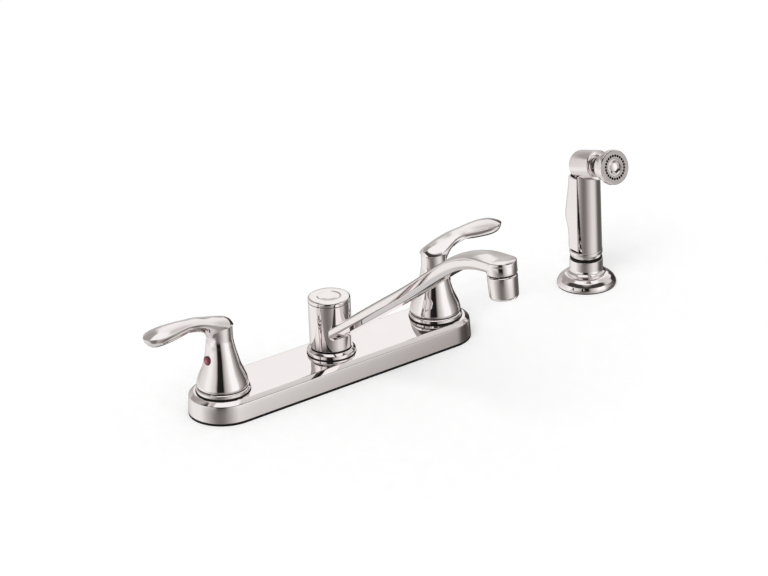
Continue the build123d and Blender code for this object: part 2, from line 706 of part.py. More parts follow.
with BuildPart() as spray_body:
    add(turned([(0, spray_low), (liner_lip, spray_low), (foot_radius, spray_low + 3.2),
                (foot_radius, foot_top - 0.8), (foot_radius - 0.8, foot_top), (0, foot_top)], spray_x, spray_y))
    add(front_shell.part)
    with BuildSketch(Plane(origin=(spray_x, spray_y + core_shift, foot_top))):
        Circle(core_radius)
    extrude(amount=shaft_top - foot_top)
    add(barrel.part)
    # the barrel's water room, open at the front for the nozzle
    with BuildSketch(nozzle_plane(0)):
        Circle(barrel_bore)
    extrude(amount=barrel_front + 1, mode=Mode.SUBTRACT)
    # the water way up the shaft
    with BuildSketch(Plane(origin=(spray_x, spray_y - 6.0, spray_low))):
        Circle(water_bore)
    extrude(amount=barrel_height - spray_low, mode=Mode.SUBTRACT)
    # the adapter's socket
    with BuildSketch(Plane(origin=(spray_x, spray_y, spray_low))):
        Circle(9.0 + thread_play)
    extrude(amount=4.0, mode=Mode.SUBTRACT)
    # the pin's hole and the plunger's bore
    with BuildSketch(Plane(origin=(spray_x - 20, spray_y + pin_y, pin_z), z_dir=(1, 0, 0))):
        Circle(pin_radius + running)
    extrude(amount=40, mode=Mode.SUBTRACT)
    with BuildSketch(Plane(origin=(spray_x, spray_y + plunger_tip - 2.2, plunger_height), z_dir=(0, 1, 0))):
        Circle(plunger_radius + running)
    extrude(amount=20, mode=Mode.SUBTRACT)

# ---- trigger: a long channel over the back of the spray, hung on a pin at its top ----
trigger_half_width = 11.9
trigger_wall = 1.2
trigger_front = -4.0
trigger_low = foot_top + 0.9
trigger_high = 95.0
trigger_swing = 3.0           # degrees
# (height, distance of the back from the shaft's axis)
trigger_back = [(trigger_low, 12.2), (48.0, 12.9), (55.0, 15.4), (63.0, 16.2), (76.0, 14.2), (87.0, 12.4),
                (trigger_high, 11.6)]


def channel(inset, low, high):
    with BuildPart() as bar:
        for height, back in trigger_back:
            half = trigger_half_width - inset
            front = trigger_front - (2 if inset else 0)
            corner = 7.5 - inset
            depth = back - inset
            level = min(max(height, low), high)
            if inset and height == trigger_low:
                level = height - 1
            if inset and height == trigger_high:
                level = height + 1
            with BuildSketch(Plane(origin=(spray_x, spray_y, level))):
                with BuildLine():
                    Polyline((-half, depth - corner), (-half, front), (half, front), (half, depth - corner))
                    RadiusArc((half, depth - corner), (half - corner, depth), -corner)
                    Line((half - corner, depth), (-half + corner, depth))
                    RadiusArc((-half + corner, depth), (-half, depth - corner), -corner)
                make_face()
        loft()
    return bar.part


with BuildPart() as spray_trigger:
    add(channel(0, trigger_low, trigger_high))
    add(channel(trigger_wall, trigger_low, trigger_high), mode=Mode.SUBTRACT)
    # two stub pins, snapped into the body's hole
    for end in (-1, 1):
        with BuildSketch(Plane(origin=(spray_x + end * stub_reach, spray_y + pin_y, pin_z),
                               z_dir=(end, 0, 0))):
            Circle(pin_radius)
        extrude(amount=trigger_half_width - trigger_wall / 2 - stub_reach)

# ---- valve plunger and its spring, between the core and the trigger ----
pad_y = 16.2 - trigger_wall - body_gap - 0.3
pad_thickness = 1.4
pad_radius = 4.2
plunger_stroke = (pin_z - plunger_height) * tan(radians(trigger_swing)) + body_gap
spring_low = core_shift + core_radius

with BuildPart() as valve_plunger:
    with BuildSketch(Plane(origin=(spray_x, spray_y + plunger_tip, plunger_height), z_dir=(0, 1, 0))):
        Circle(plunger_radius)
    extrude(amount=pad_y - plunger_tip)
    with BuildSketch(Plane(origin=(spray_x, spray_y + pad_y - pad_thickness, plunger_height),
                           z_dir=(0, 1, 0))):
        Circle(pad_radius)
    extrude(amount=pad_thickness)

plunger_spring = coil(plunger_radius + 0.9, spring_wire,
                      (spray_x, spray_y + spring_low + spring_wire, plunger_height), (0, 1, 0),
                      pad_y - pad_thickness - plunger_stroke - spring_low - 2 * spring_wire, 4)

# ---- hose adapter: the tail that stands in the holder and takes the hose ----
adapter_radius = 9.0
adapter_low = -6.0
hose_bore = 4.0
spray_hose_adapter = turned([(hose_bore, adapter_low), (adapter_radius - 1.2, adapter_low),
                             (adapter_radius, adapter_low + 2), (adapter_radius, spray_low + 4.0),
                             (hose_bore, spray_low + 4.0)], spray_x, spray_y)

# ---- nozzle: ring piece, spray face with its holes, and the centre cup ----
nozzle_front = 39.0
rim_radius = 14.0
face_radius = 12.4
neck_ring = 8.3
collar_ring = 10.4
nozzle_bore = 6.4
hole_circle = 9.25
hole_radius = 0.55
hole_count = 24
centre_cup_radius = 6.8

nozzle_ring = nozzle_turned([
    (3.6, 6.0), (barrel_bore - thread_play, 6.0), (barrel_bore - thread_play, barrel_front),
    (neck_ring - 0.5, barrel_front), (neck_ring, barrel_front + 0.5), (neck_ring, 24.3),
    (collar_ring - 0.4, 24.8), (collar_ring, 25.4), (collar_ring, 29.6), (collar_ring - 0.6, 30.2),
    (collar_ring + 0.4, 31.4), (rim_radius - 0.6, 33.4), (rim_radius, 34.2), (rim_radius, nozzle_front - 0.8),
    (rim_radius - 0.8, nozzle_front), (face_radius + thread_play, nozzle_front),
    (face_radius + thread_play, nozzle_front - 3.0), (nozzle_bore, nozzle_front - 3.0), (nozzle_bore, 26.0),
    (3.6, 26.0)])

with BuildPart() as spray_face:
    with BuildSketch(nozzle_plane(nozzle_front - 3.0)):
        Circle(face_radius)
        Circle(centre_cup_radius + thread_play, mode=Mode.SUBTRACT)
        with PolarLocations(hole_circle, hole_count):
            Circle(hole_radius, mode=Mode.SUBTRACT)
    extrude(amount=2.7)

centre_cup = nozzle_turned([
    (0, nozzle_front - 3.0), (centre_cup_radius, nozzle_front - 3.0), (centre_cup_radius, nozzle_front - 0.2),
    (centre_cup_radius - 0.9, nozzle_front), (centre_cup_radius - 1.6, nozzle_front - 0.8),
    (centre_cup_radius - 3.4, nozzle_front - 1.7), (0, nozzle_front - 2.0)])

# ---- write every piece ----
pieces = {
    "deck_gasket": deck_gasket.part, "deck_plate": deck_plate.part, "waterway": waterway.part,
    "hot_valve_body": hot_valve_body, "cold_valve_body": cold_valve_body,
    "hot_cartridge": hot_cartridge, "cold_cartridge": cold_cartridge,
    "fixed_discs": fixed_discs, "seat_seals": seat_seals, "bonnet_nuts": bonnet_nuts,
    "plate_nuts": plate_nuts, "shank_washers": shank_washers, "shank_nuts": shank_nuts,
    "spout_hub": spout_hub.part, "hub_o_rings": hub_o_rings, "spout_ring": spout_ring,
    "spout_bearing": spout_bearing, "spout_retainer": spout_retainer, "diverter_sleeve": diverter_sleeve,
    "hose_nipple": hose_nipple, "spray_flange": spray_flange.part, "spray_gasket": spray_gasket,
    "spray_liner": spray_liner, "spray_nut": spray_nut,
    "hot_handle": hot_handle, "hot_stem": hot_stem, "hot_turning_disc": hot_turning_disc,
    "hot_set_screw": hot_set_screw, "hot_index_button": hot_index_button,
    "cold_handle": cold_handle, "cold_stem": cold_stem, "cold_turning_disc": cold_turning_disc,
    "cold_set_screw": cold_set_screw, "cold_index_button": cold_index_button,
    "spout": spout.part, "spout_cap": spout_cap.part, "aerator_housing": aerator_housing,
    "aerator_insert": aerator_insert.part, "aerator_washer": aerator_washer,
    "diverter_piston": diverter_piston, "diverter_spring": diverter_spring,
    "spray_body": spray_body.part, "spray_hose_adapter": spray_hose_adapter,
    "nozzle_ring": nozzle_ring, "spray_face": spray_face.part, "centre_cup": centre_cup,
    "spray_trigger": spray_trigger.part, "valve_plunger": valve_plunger.part, "plunger_spring": plunger_spring,
}

os.makedirs("parts", exist_ok=True)
for name, piece in pieces.items():
    piece.label = name
    export_step(piece, f"parts/{name}.step")
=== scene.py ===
import json
import math

import bpy
import numpy as np
from mathutils import Matrix, Vector
from mathutils.geometry import tessellate_polygon


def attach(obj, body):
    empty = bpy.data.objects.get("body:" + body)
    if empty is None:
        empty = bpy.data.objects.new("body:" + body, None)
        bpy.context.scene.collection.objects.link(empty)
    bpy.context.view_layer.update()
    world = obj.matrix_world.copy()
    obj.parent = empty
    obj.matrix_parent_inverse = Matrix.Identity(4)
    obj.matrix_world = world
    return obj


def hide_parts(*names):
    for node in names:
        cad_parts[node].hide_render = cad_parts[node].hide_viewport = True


bpy.ops.wm.read_factory_settings(use_empty=True)
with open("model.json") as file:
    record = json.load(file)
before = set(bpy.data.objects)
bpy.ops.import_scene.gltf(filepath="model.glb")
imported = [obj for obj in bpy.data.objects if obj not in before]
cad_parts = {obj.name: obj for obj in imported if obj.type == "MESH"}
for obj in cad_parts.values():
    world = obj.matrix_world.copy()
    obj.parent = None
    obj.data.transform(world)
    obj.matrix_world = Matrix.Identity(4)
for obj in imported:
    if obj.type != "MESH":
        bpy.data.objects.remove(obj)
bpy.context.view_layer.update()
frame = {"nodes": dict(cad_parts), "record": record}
scene = bpy.context.scene
scene.view_settings.view_transform = "Standard"

# ---- Camera ----
# A long lens, a little left of the middle and looking down on the faucet, fitted to the photograph.
# It is rolled by 2.4 degrees, as the picture is.
turn = math.radians(36.111)
dip = math.radians(24)
roll = math.radians(-2.4168)
photo_width = 768
focal_length = 3451.996  # in pixels of the photograph
camera_place = (-1.38866, -1.97564, 1.14430)
ahead = Vector((math.sin(turn) * math.cos(dip), math.cos(turn) * math.cos(dip), -math.sin(dip)))
level = Vector((math.cos(turn), -math.sin(turn), 0))
upright = level.cross(ahead)
across = math.cos(roll) * level + math.sin(roll) * upright
above = -math.sin(roll) * level + math.cos(roll) * upright
lens = bpy.data.cameras.new("long_lens")
lens.sensor_width = 36
lens.lens = focal_length / photo_width * lens.sensor_width
lens.clip_end = 30
camera = bpy.data.objects.new("camera", lens)
axes = Matrix((across, above, -ahead)).transposed()
camera.matrix_world = Matrix.Translation(camera_place) @ axes.to_4x4()
scene.collection.objects.link(camera)
scene.camera = camera

# ---- Room ----
# A white tent with a dark gap in front and a dark stretch at the right towards the back, as polished
# metal shows it. Everything else sees it evenly white. The floor is a plain white sheet that keeps the
# faucet's shadow.


def node(tree, kind, inputs=None, **settings):
    """Adds a shader node, with its settings, values and links by input name or number."""
    made = tree.nodes.new("ShaderNode" + kind)
    for name, value in settings.items():
        setattr(made, name, value)
    for name, value in (inputs or {}).items():
        if isinstance(value, bpy.types.NodeSocket):
            tree.links.new(value, made.inputs[name])
        else:
            made.inputs[name].default_value = value
    return made


def ramp(tree, factor, stops):
    """A colour ramp with (position, colour) stops."""
    made = node(tree, "ValToRGB", {"Fac": factor})
    elements = made.color_ramp.elements
    while len(elements) < len(stops):
        elements.new(0.5)
    for element, (position, colour) in zip(elements, stops):
        element.position = position
        element.color = (*colour, 1)
    return made.outputs["Color"]


world = bpy.data.worlds.new("tent")
scene.world = world
world.use_nodes = True
air = world.node_tree
air.nodes.clear()
ray = node(air, "LightPath")
direction = node(air, "TexCoord").outputs["Generated"]
turned = node(air, "VectorRotate", {"Vector": direction, "Angle": turn + math.pi / 2},
              rotation_type="Z_AXIS")
parts = node(air, "SeparateXYZ", {"Vector": turned.outputs["Vector"]})
bearing = node(air, "Math", {0: parts.outputs["Y"], 1: parts.outputs["X"]}, operation="ARCTAN2")
round_about = node(air, "MapRange", {"Value": bearing.outputs[0], "From Min": -math.pi,
                                     "From Max": math.pi}).outputs[0]


def grey(value):
    """A grey of the tent, warmer where it is darker."""
    warmth = 0.09 * (1 - value)
    return (value, value * (1 - warmth), value * (1 - 1.5 * warmth))


def all_round(zones):
    """The tent's grey all round, from (degrees right of the camera, value) zones."""
    return ramp(air, round_about, [(0.5 + degrees / 360, grey(value)) for degrees, value in zones])


# at eye level, below it, on the floor and on the roof
level_zones = [(-180, 0.60), (-165, 0.45), (-150, 0.53), (-120, 0.71), (-90, 0.81), (-75, 0.95), (-60, 0.92),
               (-45, 0.75), (-32, 0.60), (-25, 0.30), (-22, 0.02), (4, 0.01), (10, 0.30), (15, 0.45),
               (30, 0.71), (45, 1.0), (70, 1.0), (78, 0.60), (90, 0.40), (105, 0.20), (120, 0.09),
               (135, 0.04), (150, 0.03), (165, 0.12), (180, 0.60)]
low_zones = [(-180, 0.05), (-172, 0.10), (-162, 0.62), (-120, 0.88), (-80, 0.88), (-60, 0.60), (-45, 0.40),
             (-30, 0.22), (-15, 0.17), (0, 0.23), (15, 0.40), (30, 0.58), (45, 0.76), (68, 0.74), (80, 0.50),
             (92, 0.17), (105, 0.12), (120, 0.10), (135, 0.14), (148, 0.20), (160, 0.03), (180, 0.05)]
floor_zones = [(-180, 0.06), (-165, 0.50), (-110, 0.75), (-45, 0.65), (-30, 0.22), (10, 0.16), (30, 0.40),
               (55, 0.30), (82, 0.14), (95, 0.45), (110, 0.88), (135, 0.85), (147, 0.012), (172, 0.012),
               (180, 0.06)]
roof_zones = [(-180, 0.93), (-172, 0.88), (-162, 0.42), (-150, 0.36), (-125, 0.34), (-108, 0.45),
              (-95, 0.05), (84, 0.05), (96, 0.60), (112, 0.70), (128, 0.60), (150, 0.85), (180, 0.93)]
height = parts.outputs["Z"]


def between(value, start, end):
    """0 before the start, 1 past the end, smooth between."""
    return node(air, "MapRange", {"Value": value, "From Min": start, "From Max": end},
                interpolation_type="SMOOTHSTEP").outputs[0]


def blend(factor, first, second):
    """The first colour at 0, the second at 1."""
    return node(air, "Mix", {"Factor": factor, 6: first, 7: second}, data_type="RGBA").outputs[2]


low_grey, level_grey, floor_grey, roof_grey = [
    all_round(zones) for zones in (low_zones, level_zones, floor_zones, roof_zones)]
aside = node(air, "Math", {0: bearing.outputs[0]}, operation="ABSOLUTE").outputs[0]
behind = between(aside, 1.55, 1.95)
lifted = node(air, "Math", {0: behind, 1: 0.17, 2: height}, operation="MULTIPLY_ADD").outputs[0]
wall = blend(between(height, -0.31, -0.20), low_grey, level_grey)
with_floor = blend(between(height, -0.50, -0.62), wall, floor_grey)
with_nadir = blend(between(height, -0.86, -0.93), with_floor, (0.60, 0.60, 0.60, 1))
with_roof = blend(between(lifted, 0.46, 0.54), with_nadir, roof_grey)
tent = blend(between(height, 0.86, 0.92), with_roof, (0.95, 0.95, 0.95, 1))
backdrop = blend(ray.outputs["Is Glossy Ray"], (1, 1, 1, 1), tent)
seen_one = node(air, "Math", {0: ray.outputs["Is Camera Ray"], 1: ray.outputs["Is Glossy Ray"]},
                operation="ADD")
seen = node(air, "Math", {0: seen_one.outputs[0], 1: ray.outputs["Is Transmission Ray"]}, operation="ADD",
            use_clamp=True)
lit = node(air, "Background", {"Color": (1, 1, 1, 1), "Strength": 0.62})
shown = node(air, "Background", {"Color": backdrop, "Strength": 1})
choice = node(air, "MixShader", {0: seen.outputs[0], 1: lit.outputs[0], 2: shown.outputs[0]})
node(air, "OutputWorld", {"Surface": choice.outputs[0]})

key = bpy.data.lights.new("window_light", "SUN")
key.energy = 1.1
key.angle = math.radians(35)
key_lamp = bpy.data.objects.new("window_light", key)
key_lamp.rotation_euler = (math.radians(38), math.radians(-22), math.radians(-30))
key_lamp.visible_glossy = False
scene.collection.objects.link(key_lamp)


def bare_material(name):
    """A node material with nothing in it yet, and its tree."""
    made = bpy.data.materials.new(name)
    made.use_nodes = True
    made.node_tree.nodes.clear()
    return made, made.node_tree


def material(name):
    """A node material, its tree, its Principled shader and its object coordinates."""
    made, tree = bare_material(name)
    shader = node(tree, "BsdfPrincipled")
    node(tree, "OutputMaterial", {"Surface": shader.outputs[0]})
    return made, tree, shader, node(tree, "TexCoord").outputs["Object"]


white_sheet, sheet_tree = bare_material("white_sheet")
sheet_place = node(sheet_tree, "TexCoord").outputs["Object"]
weave = node(sheet_tree, "TexNoise", {"Vector": sheet_place, "Scale": 90.0, "Detail": 3.0})
sheet_colour = ramp(sheet_tree, weave.outputs["Fac"], [(0.3, (0.80, 0.80, 0.80)), (0.7, (0.83, 0.83, 0.83))])
dull = node(sheet_tree, "BsdfDiffuse", {"Color": sheet_colour})
sheet_ray = node(sheet_tree, "LightPath")
dim = node(sheet_tree, "Math", {0: sheet_ray.outputs["Is Camera Ray"], 1: 0.30}, operation="MULTIPLY")
glow = node(sheet_tree, "Emission", {"Color": (1, 1, 1, 1), "Strength": dim.outputs[0]})
both = node(sheet_tree, "AddShader", {0: dull.outputs[0], 1: glow.outputs[0]})
node(sheet_tree, "OutputMaterial", {"Surface": both.outputs[0]})

sheet_mesh = bpy.data.meshes.new("white_floor")
reach = 6  # metres to each side
sheet_mesh.from_pydata([(-reach, -reach, 0), (reach, -reach, 0), (reach, reach, 0), (-reach, reach, 0)], [],
                       [(0, 1, 2, 3)])
sheet_mesh.materials.append(white_sheet)
white_floor = bpy.data.objects.new("white_floor", sheet_mesh)
white_floor.visible_glossy = False
scene.collection.objects.link(white_floor)

# ---- Deck gasket and painted shadow bands ----
# A thin black rubber gasket lies under the whole rim of the plate. A slim black band at the foot of each
# raised ring is a painted contact shadow, and another under each handle's skirt is painted shade.
handle_x = 101.6  # each handle's axis, from the middle of the plate
plate_end_x = 101  # centre of each round end of the plate
plate_end_radius = 27.95
gasket_band = 7.0
gasket_top = 1.9


def rubber_finish(name, dark, light, low, high, scale):
    """Dull moulded rubber or plastic with a fine grain."""
    made, tree, shader, place = material(name)
    grain = node(tree, "TexNoise", {"Vector": place, "Scale": scale, "Detail": 5.0, "Roughness": 0.6})
    tree.links.new(ramp(tree, grain.outputs["Fac"], [(0.3, dark), (0.7, light)]), shader.inputs["Base Color"])
    gloss = node(tree, "MapRange", {"Value": grain.outputs["Fac"], "To Min": low, "To Max": high})
    tree.links.new(gloss.outputs[0], shader.inputs["Roughness"])
    bump = node(tree, "Bump", {"Height": grain.outputs["Fac"], "Strength": 0.15, "Distance": 0.0001})
    tree.links.new(bump.outputs[0], shader.inputs["Normal"])
    shader.inputs["Specular IOR Level"].default_value = 0.2
    return made


def shape(name, points, faces, finish, crisp=35):
    """A smooth shaded object from millimetre points, with crisp edges where faces meet at an angle."""
    mesh = bpy.data.meshes.new(name)
    mesh.from_pydata([tuple(0.001 * value for value in point) for point in points], [], faces)
    mesh.validate()
    mesh.polygons.foreach_set("use_smooth", [True] * len(mesh.polygons))
    mesh.set_sharp_from_angle(angle=math.radians(crisp))
    mesh.materials.append(finish)
    made = bpy.data.objects.new(name, mesh)
    scene.collection.objects.link(made)
    return made


def skin(rings, closed=True, first=False, last=False):
    """Points and faces of a skin over rings of equal length, with the first or last ring filled."""
    count = len(rings[0])
    points = [tuple(point) for one in rings for point in one]
    faces = []
    for i in range(len(rings) - 1):
        for j in range(count if closed else count - 1):
            k = (j + 1) % count
            faces.append((i * count + j, i * count + k, (i + 1) * count + k, (i + 1) * count + j))
    if first:
        faces.append(tuple(reversed(range(count))))
    if last:
        faces.append(tuple(range(len(points) - count, len(points))))
    return points, faces


def joined(*skins):
    """Several skins as one."""
    points = []
    faces = []
    for more_points, more_faces in skins:
        shift = len(points)
        points += more_points
        faces += [tuple(i + shift for i in face) for face in more_faces]
    return points, faces


def spun(outline, origin=(0, 0, 0), axis=(0, 0, 1), turns=96):
    """Skin of a turned form: (radius, height) outline spun about the axis. Its ends close on the axis."""
    along = Vector(axis).normalized()
    side = Vector((1, 0, 0)) if abs(along.x) < 0.9 else Vector((0, 1, 0))
    side = (side - along * side.dot(along)).normalized()
    other = along.cross(side)
    start = Vector(origin)
    points = []
    rows = []
    for radius, height in outline:
        centre = start + along * height
        if radius < 1e-6:
            rows.append([len(points)] * turns)
            points.append(tuple(centre))
            continue
        rows.append(list(range(len(points), len(points) + turns)))
        for j in range(turns):
            angle = 2 * math.pi * j / turns
            around = side * (radius * math.cos(angle)) + other * (radius * math.sin(angle))
            points.append(tuple(centre + around))
    faces = []
    for low, high in zip(rows, rows[1:]):
        for j in range(turns):
            k = (j + 1) % turns
            face = []
            for index in (low[j], low[k], high[k], high[j]):
                if index not in face:
                    face.append(index)
            if len(face) > 2:
                faces.append(tuple(face))
    return points, faces


def put(piece, body, slot, *nodes):
    """The piece moves with its body and stands for its CAD nodes."""
    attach(piece, body)
    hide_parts(*nodes)


def stadium(inset, height, arc=40, straight=24):
    """Outline of the plate, drawn in by the inset."""
    radius = max(plate_end_radius - inset, 0.02)
    loop = []
    for j in range(arc + 1):
        angle = math.pi * (j / arc - 0.5)
        loop.append((plate_end_x + radius * math.cos(angle), radius * math.sin(angle), height))
    for j in range(1, straight):
        loop.append((plate_end_x - 2 * plate_end_x * j / straight, radius, height))
    for j in range(arc + 1):
        angle = math.pi * (j / arc + 0.5)
        loop.append((-plate_end_x + radius * math.cos(angle), radius * math.sin(angle), height))
    for j in range(1, straight):
        loop.append((-plate_end_x + 2 * plate_end_x * j / straight, -radius, height))
    return loop


rubber = rubber_finish("black_rubber", (0.004, 0.004, 0.004), (0.010, 0.009, 0.009), 0.6, 0.8, 500.0)
gasket_profile = [(gasket_band, 0.0), (gasket_band, gasket_top), (0.05, gasket_top), (0.02, 0.0),
                  (gasket_band, 0.0)]
deck_gasket = shape("black_deck_gasket", *skin([stadium(*step) for step in gasket_profile]), rubber)
put(deck_gasket, "base", "rubber", "deck_gasket")
# black rubber bands as painted shadow: at each raised ring's foot on the plate, and under each handle's skirt
raised_ring_shadow = [(20.0, 17.9), (21.2, 17.9), (21.2, 18.5), (21.0, 18.9), (20.0, 18.9), (20.0, 17.9)]
skirt_shade = [(17.6, 21.8), (19.7, 21.8), (19.7, 22.19), (17.6, 22.19), (17.6, 21.8)]
for side, name in ((-1, "hot"), (1, "cold")):
    shadow_bands = joined(spun(raised_ring_shadow, (side * handle_x, 0, 0)), spun(skirt_shade, (side * handle_x, 0, 0)))
    ring_shadow_bands = shape(name + "_ring_shadow_bands", *shadow_bands, rubber)
    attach(ring_shadow_bands, "base")

# ---- Deck plate ----
# A hollow casting of chromed zinc. Its side leans in a little, a bevelled band runs round the top,
# and a raised ring stands under each handle.
chrome_tint = (0.95, 0.908, 0.90)
shaded_side_tint = (0.56, 0.52, 0.505)  # painted shade of the side at the cold end
hot_end, cold_end = -0.11, 0.12  # metres along the plate, where the side's painted shade starts and ends
side_low, side_high = 0.002, 0.0152  # metres up the side


def chrome_finish(name, tint, low, high):
    """Polished plating: a faint cloud in the tint and the gloss, and a trace of polishing waves."""
    made, tree, shader, place = material(name)
    cloud = node(tree, "TexNoise", {"Vector": place, "Scale": 34.0, "Detail": 3.0, "Roughness": 0.55})
    paler = tuple(min(1, value * 1.02) for value in tint)
    colour = ramp(tree, cloud.outputs["Fac"], [(0.25, tint), (0.75, paler)])
    tree.links.new(colour, shader.inputs["Base Color"])
    wipe = node(tree, "TexNoise", {"Vector": place, "Scale": 210.0, "Detail": 4.0})
    gloss = node(tree, "MapRange", {"Value": wipe.outputs["Fac"], "From Min": 0.3, "From Max": 0.7,
                                    "To Min": low, "To Max": high})
    tree.links.new(gloss.outputs[0], shader.inputs["Roughness"])
    wave = node(tree, "TexNoise", {"Vector": place, "Scale": 60.0, "Detail": 1.0})
    bump = node(tree, "Bump", {"Height": wave.outputs["Fac"], "Strength": 0.02, "Distance": 0.0006})
    tree.links.new(bump.outputs[0], shader.inputs["Normal"])
    shader.inputs["Metallic"].default_value = 1
    shader.inputs["Specular IOR Level"].default_value = 0.5
    return made


chrome = chrome_finish("polished_chrome", chrome_tint, 0.03, 0.06)
soft_chrome = chrome_finish("soft_chrome", (0.93, 0.885, 0.875), 0.10, 0.16)


def rounded(corners, steps=6):
    """An outline through (a, b, radius) corners, each rounded to its radius."""
    outline = []
    last = len(corners) - 1
    for i, (a, b, radius) in enumerate(corners):
        here = np.array((a, b))
        if radius == 0 or i in (0, last):
            outline.append((a, b))
            continue
        back = np.array(corners[i - 1][:2]) - here
        on = np.array(corners[i + 1][:2]) - here
        back_length = np.linalg.norm(back)
        on_length = np.linalg.norm(on)
        back = back / back_length
        on = on / on_length
        half = math.acos(max(-1, min(1, float(back @ on)))) / 2
        if half > 1.55:
            outline.append((a, b))
            continue
        reach = min(radius / math.tan(half), 0.48 * back_length, 0.48 * on_length)
        size = reach * math.tan(half)
        middle = here + (back + on) / np.linalg.norm(back + on) * size / math.sin(half)
        start = here + back * reach - middle
        end = here + on * reach - middle
        sweep = math.pi - 2 * half
        for step in range(steps + 1):
            k = step / steps
            spot = middle + (start * math.sin((1 - k) * sweep) + end * math.sin(k * sweep)) / math.sin(sweep)
            outline.append((float(spot[0]), float(spot[1])))
    return outline


plate_profile = [(6.2, 16.4), (6.0, 16.2), (6.0, gasket_top)]
plate_profile += rounded([(6.0, gasket_top, 0), (0.0, gasket_top, 0.25), (0.77, 15.3, 1.1),
                          (4.37, 17.95, 1.6), (12.0, 18.0, 0)], 5)[1:]
plate_skin = skin([stadium(*step) for step in plate_profile], first=True, last=True)
ring_outline = rounded([(22.2, 17.95, 0), (20.75, 18.0, 0.1), (20.75, 21.0, 0.9), (19.4, 21.9, 0.9),
                        (12.8, 21.9, 0.2), (12.8, 16.5, 0)])
ring_skins = [spun(ring_outline, (x, 0, 0)) for x in (-handle_x, handle_x)]
deck_plate = shape("chromed_deck_plate", *joined(plate_skin, *ring_skins), chrome)
# the side is less polished, and painted shade darkens it towards the cold end
side_chrome, side_tree, side_shader, side_place = material("plate_side_chrome")
along_plate = node(side_tree, "SeparateXYZ", {"Vector": side_place})
share = node(side_tree, "MapRange", {"Value": along_plate.outputs["X"], "From Min": hot_end,
                                     "From Max": cold_end})
# painted shade: the side's colour darkens from the chrome tint at the hot end to grey at the cold end
side_tint = ramp(side_tree, share.outputs[0], [(0.0, chrome_tint), (1.0, shaded_side_tint)])
scuff = node(side_tree, "TexNoise", {"Vector": side_place, "Scale": 620.0, "Detail": 4.0})
scuffed = node(side_tree, "Mix", {"Factor": 0.06, 6: side_tint, 7: scuff.outputs["Color"]}, data_type="RGBA")
side_tree.links.new(scuffed.outputs[2], side_shader.inputs["Base Color"])
side_gloss = node(side_tree, "MapRange", {"Value": scuff.outputs["Fac"], "To Min": 0.10, "To Max": 0.22})
side_tree.links.new(side_gloss.outputs[0], side_shader.inputs["Roughness"])
side_shader.inputs["Metallic"].default_value = 1
deck_plate.data.materials.append(side_chrome)
for polygon in deck_plate.data.polygons:
    if side_low < polygon.center.z < side_high and abs(polygon.normal.z) < 0.4:
        polygon.material_index = 1
put(deck_plate, "base", "chrome", "deck_plate")

# ---- Handles ----
# One polished casting each: a bell, a neck and a lever like a paddle, with a crowned top and a crisp edge
# all round. The neck runs into the lever's belly in a hollow curve. A set screw holds it to the stem.
lever_tip, lever_back = 66.6, -10.5  # ends of the lever, from the handle's axis
neck_radius = 10.3
neck_lean = 0.3  # towards the lever
neck_end = 63
bell_foot = 23.2
skirt_foot, skirt_lip, skirt_radius = 22.2, 0.25, 19.1
hollow = 6.5  # radius of the curve from the neck into the belly
top_count = 17  # points across the lever's top


def curve(table, at):
    """A smooth line through the rows of a table, read at a value of its first column."""
    rows = np.array(table, float)
    keys = rows[:, 0]
    at = min(max(at, keys[0]), keys[-1])
    i = min(max(int(np.searchsorted(keys, at, side="right")) - 1, 0), len(keys) - 2)
    span = keys[i + 1] - keys[i]
    k = (at - keys[i]) / span

    def slope(j):
        if j == 0:
            return (rows[1] - rows[0]) / (keys[1] - keys[0])
        if j == len(keys) - 1:
            return (rows[-1] - rows[-2]) / (keys[-1] - keys[-2])
        before = keys[j] - keys[j - 1]
        after = keys[j + 1] - keys[j]
        behind_slope = (rows[j] - rows[j - 1]) / before
        ahead_slope = (rows[j + 1] - rows[j]) / after
        return (behind_slope * after + ahead_slope * before) / (before + after)

    return ((2 * k**3 - 3 * k**2 + 1) * rows[i] + (k**3 - 2 * k**2 + k) * span * slope(i)
            + (3 * k**2 - 2 * k**3) * rows[i + 1] + (k**3 - k**2) * span * slope(i + 1))[1:]


# bell and neck: height, radius, lean towards the lever
bell_line = [(23.2, 20.0, 0), (24.0, 19.98, 0), (27.0, 19.35, 0), (29.0, 18.85, 0), (31.0, 18.0, 0),
             (33.5, 16.9, 0), (38.0, 15.0, 0), (42.5, 13.7, 0), (47.0, 12.5, 0), (52.0, 11.5, 0.2),
             (56.5, 10.8, 0.4), (61.0, 10.5, 0.4), (66.4, 10.3, 0.3), (72.0, 10.2, 0.0), (78.0, 10.2, 0.0)]
# lever: distance from the axis, half width, edge height, belly height
lever_line = [(-10.5, 0.0, 71.4, 70.9), (-10.3, 2.0, 71.4, 70.8), (-9.8, 4.0, 71.4, 70.6),
              (-8.6, 6.2, 71.5, 70.2), (-6.5, 8.3, 71.7, 69.6), (-4.0, 9.7, 72.0, 68.8),
              (-1.0, 10.5, 72.6, 68.0), (1.5, 10.5, 73.6, 67.4), (4.0, 10.1, 74.8, 67.0),
              (9.0, 9.2, 77.1, 67.0), (13.0, 8.3, 78.8, 70.0), (17.5, 7.4, 80.3, 72.5),
              (22.0, 6.9, 81.2, 74.2), (28.0, 6.8, 81.6, 74.6), (34.0, 7.6, 81.6, 73.5),
              (42.0, 8.8, 81.4, 72.3), (48.0, 9.4, 81.3, 71.8), (53.0, 9.5, 81.1, 71.4),
              (57.0, 9.1, 80.9, 71.4), (60.5, 8.1, 80.6, 72.0), (63.2, 6.4, 80.2, 73.6),
              (65.1, 4.4, 79.9, 75.8), (66.2, 2.4, 79.7, 77.4), (66.6, 0.0, 79.6, 78.6)]
